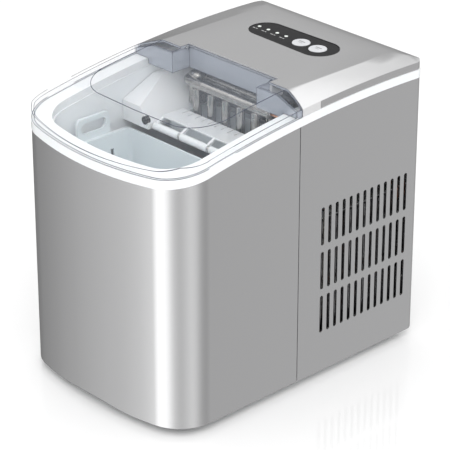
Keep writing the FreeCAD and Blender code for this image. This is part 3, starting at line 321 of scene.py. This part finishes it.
LAMP_XS = (-0.053, -0.0395, -0.026, -0.0125)
BAR_SPANS = ((-0.0035, 0.0002), (0.0012, 0.0036))
BAR_LOW = 0.1038
BAR_HIGH = 0.1049
BAR_LEVEL = 0.32745


def legend_bars():
    """Plain printed bars beside the lamps, in place of words."""
    mesh = bpy.data.meshes.new("legend_bars")
    shape = bmesh.new()
    for lamp in LAMP_XS:
        for start, end in BAR_SPANS:
            corners = [(lamp + start, BAR_LOW), (lamp + end, BAR_LOW), (lamp + end, BAR_HIGH),
                       (lamp + start, BAR_HIGH)]
            shape.faces.new([shape.verts.new((x, y, BAR_LEVEL)) for x, y in corners])
    shape.to_mesh(mesh)
    shape.free()
    mesh.materials.append(legend_ink)
    bars = bpy.data.objects.new("legend_bars", mesh)
    bpy.context.scene.collection.objects.link(bars)
    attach(bars, "cabinet")


legend_bars()


def printed_mark(material, centre, half, ink):
    """A small printed bar on a moulded face, placed in the object's own space."""
    tree = material.node_tree
    base = tree.nodes["Principled BSDF"].inputs["Base Color"]
    before = base.links[0].from_socket
    coordinates = tree.nodes.new("ShaderNodeTexCoord")
    place = tree.nodes.new("ShaderNodeSeparateXYZ")
    tree.links.new(coordinates.outputs["Object"], place.inputs["Vector"])
    inside = []
    for axis, middle, reach in (("X", centre[0], half[0]), ("Y", centre[1], half[1])):
        compare = tree.nodes.new("ShaderNodeMath")
        compare.operation = "COMPARE"
        compare.inputs[1].default_value = middle
        compare.inputs[2].default_value = reach
        tree.links.new(place.outputs[axis], compare.inputs[0])
        inside.append(compare.outputs["Value"])
    both = tree.nodes.new("ShaderNodeMath")
    both.operation = "MULTIPLY"
    tree.links.new(inside[0], both.inputs[0])
    tree.links.new(inside[1], both.inputs[1])
    print_over = tree.nodes.new("ShaderNodeMix")
    print_over.data_type = "RGBA"
    print_over.inputs["B"].default_value = (*ink, 1.0)
    tree.links.new(both.outputs["Value"], print_over.inputs["Factor"])
    tree.links.new(before, print_over.inputs["A"])
    tree.links.new(print_over.outputs["Result"], base)


button_white = new_material("satin white button", (0.6, 0.61, 0.63), 0.3, coat=0.2)
mottle(button_white, (0.58, 0.59, 0.61), (0.63, 0.64, 0.66), 120.0)
grain(button_white, 1200.0, 0.12)
POWER_X = 0.0355
SELECT_X = 0.011
for button_x in (POWER_X, SELECT_X):
    printed_mark(button_white, (button_x, 0.1115), (0.0042, 0.0008), (0.2, 0.2, 0.21))
    printed_mark(button_white, (button_x, 0.1085), (0.0028, 0.0006), (0.3, 0.3, 0.31))
dress(button_white, "power_button", "select_button")
finish_mesh("power_button", 0.0)
finish_mesh("select_button", 0.0)

lens = new_material("clear lamp lens", (0.85, 0.9, 0.86), 0.1, coat=0.6)
mottle(lens, (0.75, 0.8, 0.76), (0.9, 0.94, 0.9), 500.0)
grain(lens, 900.0, 0.1)
dress(lens, "led_lenses")


# ---------------------------------------------------------------- lid
# One clear moulding, faintly blue where it is seen edge-on, that turns on two steel pins
# in the cover.

CLEAR_TINT = (0.48, 0.52, 0.59)
OPEN_SKIN = 0.045
LEVEL_TOP = 0.1
REAR_WALLS = 0.5
REAR_WALLS_FROM = -0.0058
LEVEL_FROM = 0.965
LEVEL_FULL = 0.98
UPRIGHT_BELOW = 0.7


def clear_plastic():
    """Clear plastic by coverage: open from above, denser in the upright walls at its rear."""
    material = new_material("clear lid plastic", CLEAR_TINT, 0.06)
    tree = material.node_tree
    coordinates = tree.nodes.new("ShaderNodeTexCoord")
    facing = tree.nodes.new("ShaderNodeSeparateXYZ")
    tree.links.new(coordinates.outputs["Normal"], facing.inputs["Vector"])
    upward = tree.nodes.new("ShaderNodeMath")
    upward.operation = "ABSOLUTE"
    tree.links.new(facing.outputs["Z"], upward.inputs[0])
    top = tree.nodes.new("ShaderNodeMapRange")
    top.inputs["From Min"].default_value = LEVEL_FROM
    top.inputs["From Max"].default_value = LEVEL_FULL
    top.inputs["To Min"].default_value = OPEN_SKIN
    top.inputs["To Max"].default_value = LEVEL_TOP
    tree.links.new(upward.outputs["Value"], top.inputs["Value"])
    upright = tree.nodes.new("ShaderNodeMath")
    upright.operation = "LESS_THAN"
    upright.inputs[1].default_value = UPRIGHT_BELOW
    tree.links.new(upward.outputs["Value"], upright.inputs[0])
    place = tree.nodes.new("ShaderNodeSeparateXYZ")
    tree.links.new(coordinates.outputs["Object"], place.inputs["Vector"])
    rearward = tree.nodes.new("ShaderNodeMath")
    rearward.operation = "GREATER_THAN"
    rearward.inputs[1].default_value = REAR_WALLS_FROM
    tree.links.new(place.outputs["Y"], rearward.inputs[0])
    dense = tree.nodes.new("ShaderNodeMath")
    dense.operation = "MULTIPLY"
    tree.links.new(upright.outputs["Value"], dense.inputs[0])
    tree.links.new(rearward.outputs["Value"], dense.inputs[1])
    coverage = tree.nodes.new("ShaderNodeMapRange")
    coverage.inputs["To Max"].default_value = REAR_WALLS
    tree.links.new(dense.outputs["Value"], coverage.inputs["Value"])
    tree.links.new(top.outputs["Result"], coverage.inputs["To Min"])
    tree.links.new(coverage.outputs["Result"], tree.nodes["Principled BSDF"].inputs["Alpha"])
    grain(material, 60.0, 0.03)
    return material


lid_plastic = clear_plastic()
# Painted shade: a dark, part-covering finish for the lines along the lid's corners and crease,
# where the clear plastic looks dark.
painted_edge_shade = new_material("painted edge shade", (0.05, 0.06, 0.1), 0.3)
painted_edge_shade.node_tree.nodes["Principled BSDF"].inputs["Alpha"].default_value = 0.75
mottle(painted_edge_shade, (0.04, 0.05, 0.085), (0.06, 0.07, 0.11), 120.0)
dress(lid_plastic, "lid")
finish_mesh("lid", 0.0003)


EDGE_LINE_TOP = 0.3277
RIBS_FROM_X = 0.1226
RIBS_MIDDLE_Y = -0.102
RIBS_REACH = 0.018
SHARP_CORNER = math.radians(35)


def painted_edge_lines():
    """Painted shade: the fine dark lines that the lid's sharp corners show are drawn as a thin
    dark tube on each corner.
    """
    shape = bmesh.new()
    shape.from_mesh(nodes["lid"].data)
    bmesh.ops.remove_doubles(shape, verts=shape.verts, dist=0.00002)
    curve = bpy.data.curves.new("painted_edge_lines", "CURVE")
    curve.dimensions = "3D"
    for edge in shape.edges:
        if len(edge.link_faces) != 2 or edge.calc_face_angle() < SHARP_CORNER:
            continue
        start, end = (vertex.co for vertex in edge.verts)
        on_flank = min(abs(start.x), abs(end.x)) > RIBS_FROM_X
        if on_flank and abs(start.y - RIBS_MIDDLE_Y) < RIBS_REACH:
            continue
        spline = curve.splines.new("POLY")
        spline.points.add(1)
        spline.points[0].co = (start.x, start.y, min(start.z, EDGE_LINE_TOP), 1.0)
        spline.points[1].co = (end.x, end.y, min(end.z, EDGE_LINE_TOP), 1.0)
    shape.free()
    curve.bevel_depth = 0.00028
    curve.bevel_resolution = 0
    curve.materials.append(painted_edge_shade)
    edge_lines = bpy.data.objects.new("painted_edge_lines", curve)
    bpy.context.scene.collection.objects.link(edge_lines)
    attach(edge_lines, "lid")


painted_edge_lines()


CREASE_HALF = 0.093
CREASE_FRONT = 0.1135
CREASE_REAR = 0.006
CREASE_TURN = 0.04
CREASE_BOW = 0.0012
CREASE_TOP = 0.3276


def crown_height(y):
    """Height of the lid's level top, which falls away along an arc towards the front."""
    arc_radius = 1.377
    arc_centre_y = 0.12
    arc_centre_z = -1.055
    bevel_rise = 0.0112
    fall = math.sqrt(arc_radius ** 2 - (min(y, 0.0) - arc_centre_y) ** 2)
    return arc_centre_z + fall + bevel_rise


# Painted shade: the crease's dark line is drawn as a thin dark tube in the edge-shade finish.
def paint_crease_line():
    """The level top ends in a rounded crease; a fine dark tube laid along it is painted shade,
    the dark line the crease shows.
    """
    run = CREASE_FRONT - CREASE_TURN + CREASE_REAR
    right = [(CREASE_HALF, CREASE_REAR - step * run / 13) for step in range(13)]
    for step in range(17):
        angle = step / 16 * math.pi / 2
        right.append((CREASE_HALF - CREASE_TURN + CREASE_TURN * math.cos(angle),
                      -CREASE_FRONT + CREASE_TURN - CREASE_TURN * math.sin(angle)))
    for step in range(1, 9):
        right.append(((CREASE_HALF - CREASE_TURN) * (1 - step / 8),
                      -CREASE_FRONT - CREASE_BOW * step / 8))
    outline = right + [(-x, y) for x, y in reversed(right[:-1])]
    curve = bpy.data.curves.new("painted_crease_line", "CURVE")
    curve.dimensions = "3D"
    spline = curve.splines.new("POLY")
    spline.points.add(len(outline) - 1)
    for point, (x, y) in zip(spline.points, outline):
        point.co = (x, y, min(crown_height(y) - 0.0002, CREASE_TOP), 1.0)
    curve.bevel_depth = 0.0004
    curve.bevel_resolution = 2
    curve.materials.append(painted_edge_shade)
    crease_line = bpy.data.objects.new("painted_crease_line", curve)
    bpy.context.scene.collection.objects.link(crease_line)
    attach(crease_line, "lid")


paint_crease_line()


# ---------------------------------------------------------------- stage, camera and lights
# A plain pale floor that mirrors the object faintly, a white surround with tall lit panels
# for the silver paint to reflect, one soft box and the camera.

FLOOR_REACH = 12.0


def stage_floor():
    mesh = bpy.data.meshes.new("floor")
    shape = bmesh.new()
    bmesh.ops.create_grid(shape, x_segments=1, y_segments=1, size=FLOOR_REACH)
    shape.to_mesh(mesh)
    shape.free()
    floor = bpy.data.objects.new("floor", mesh)
    bpy.context.scene.collection.objects.link(floor)
    paper = new_material("pale glossy floor", (0.93, 0.93, 0.93), 0.05)
    paper.node_tree.nodes["Principled BSDF"].inputs["Specular IOR Level"].default_value = 0.9
    mesh.materials.append(paper)
    floor.visible_glossy = False


stage_floor()

# What the silver paint mirrors, by compass heading: degrees from the front towards +X,
# and brightness.  Tall lit panels stand ahead and to the right, a dark one to the left.
STUDIO_PANELS = [(-180, 0.5), (-145, 0.34), (-112, 0.23), (-78, 0.34), (-64, 0.5), (-50, 0.66),
                 (-30, 0.8), (-24, 0.95), (-14, 1.75), (3, 1.9), (18, 1.6), (30, 1.0),
                 (44, 0.76), (52, 0.74), (64, 0.88), (79, 1.05), (92, 0.9), (104, 0.6),
                 (118, 0.46), (128, 0.55), (140, 0.66), (180, 0.5)]


WORLD_LIGHT = 1.25
CEILING_LIGHT = [(0.3, 0.6), (0.48, 0.64), (0.7, 1.6), (1.0, 1.7)]
HORIZON_FROM = -0.05
HORIZON_TO = 0.3


def studio_world():
    """A white surround; polished and painted surfaces see the studio's lit panels."""
    world = bpy.data.worlds.new("studio")
    world.use_nodes = True
    tree = world.node_tree
    plain = tree.nodes["Background"]
    plain.inputs["Color"].default_value = (1.0, 1.0, 1.0, 1.0)
    plain.inputs["Strength"].default_value = WORLD_LIGHT
    panels = tree.nodes.new("ShaderNodeBackground")
    coordinates = tree.nodes.new("ShaderNodeTexCoord")
    parts = tree.nodes.new("ShaderNodeSeparateXYZ")
    tree.links.new(coordinates.outputs["Generated"], parts.inputs["Vector"])
    back = tree.nodes.new("ShaderNodeMath")
    back.operation = "MULTIPLY"
    back.inputs[1].default_value = -1.0
    tree.links.new(parts.outputs["Y"], back.inputs[0])
    heading = tree.nodes.new("ShaderNodeMath")
    heading.operation = "ARCTAN2"
    tree.links.new(parts.outputs["X"], heading.inputs[0])
    tree.links.new(back.outputs["Value"], heading.inputs[1])
    turn = tree.nodes.new("ShaderNodeMapRange")
    turn.inputs["From Min"].default_value = -math.pi
    turn.inputs["From Max"].default_value = math.pi
    tree.links.new(heading.outputs["Value"], turn.inputs["Value"])
    ramp = tree.nodes.new("ShaderNodeValToRGB")
    stops = ramp.color_ramp.elements
    brightest = max(value for degrees, value in STUDIO_PANELS)
    for degrees, value in STUDIO_PANELS[1:-1]:
        stops.new((degrees + 180.0) / 360.0)
    for stop, (degrees, value) in zip(stops, STUDIO_PANELS):
        stop.position = (degrees + 180.0) / 360.0
        level = value / brightest
        stop.color = (level, level, level, 1.0)
    tree.links.new(turn.outputs["Result"], ramp.inputs["Fac"])
    # above the horizon the panels give way to a ceiling that is brightest overhead
    rise = tree.nodes.new("ShaderNodeMapRange")
    rise.inputs["From Min"].default_value = HORIZON_FROM
    rise.inputs["From Max"].default_value = HORIZON_TO
    tree.links.new(parts.outputs["Z"], rise.inputs["Value"])
    overhead = tree.nodes.new("ShaderNodeValToRGB")
    overhead.color_ramp.elements.new(0.5)
    overhead.color_ramp.elements.new(0.7)
    for stop, (height, value) in zip(overhead.color_ramp.elements, CEILING_LIGHT):
        stop.position = height
        level = value / brightest
        stop.color = (level, level, level, 1.0)
    tree.links.new(parts.outputs["Z"], overhead.inputs["Fac"])
    ceiling = tree.nodes.new("ShaderNodeMix")
    ceiling.data_type = "RGBA"
    tree.links.new(rise.outputs["Result"], ceiling.inputs["Factor"])
    tree.links.new(ramp.outputs["Color"], ceiling.inputs["A"])
    tree.links.new(overhead.outputs["Color"], ceiling.inputs["B"])
    tree.links.new(ceiling.outputs["Result"], panels.inputs["Color"])
    panels.inputs["Strength"].default_value = brightest
    ray = tree.nodes.new("ShaderNodeLightPath")
    choose = tree.nodes.new("ShaderNodeMixShader")
    tree.links.new(ray.outputs["Is Glossy Ray"], choose.inputs["Fac"])
    tree.links.new(plain.outputs["Background"], choose.inputs[1])
    tree.links.new(panels.outputs["Background"], choose.inputs[2])
    tree.links.new(choose.outputs["Shader"], tree.nodes["World Output"].inputs["Surface"])
    bpy.context.scene.world = world


studio_world()
bpy.context.scene.view_settings.view_transform = "Standard"


def soft_box(name, place, target, wide, high, power):
    """A rectangular area light turned to face its target."""
    light = bpy.data.lights.new(name, "AREA")
    light.shape = "RECTANGLE"
    light.size = wide
    light.size_y = high
    light.energy = power
    lamp = bpy.data.objects.new(name, light)
    lamp.location = place
    lamp.rotation_euler = (Vector(target) - Vector(place)).to_track_quat("-Z", "Y").to_euler()
    bpy.context.scene.collection.objects.link(lamp)
    return lamp


middle = (0.0, 0.0, 0.16)
soft_box("key box", (1.2, -1.2, 1.6), middle, 0.8, 0.8, 8.0)

camera_data = bpy.data.cameras.new("camera")
camera = bpy.data.objects.new("camera", camera_data)
bpy.context.scene.collection.objects.link(camera)
bpy.context.scene.camera = camera
camera_data.sensor_width = 36.0
camera_data.lens = 184.2
camera.location = (1.6053, -1.4965, 1.2122)
heading = 0.817
dip = 0.452
camera.rotation_euler = (math.pi / 2 - dip, 0.0, heading)
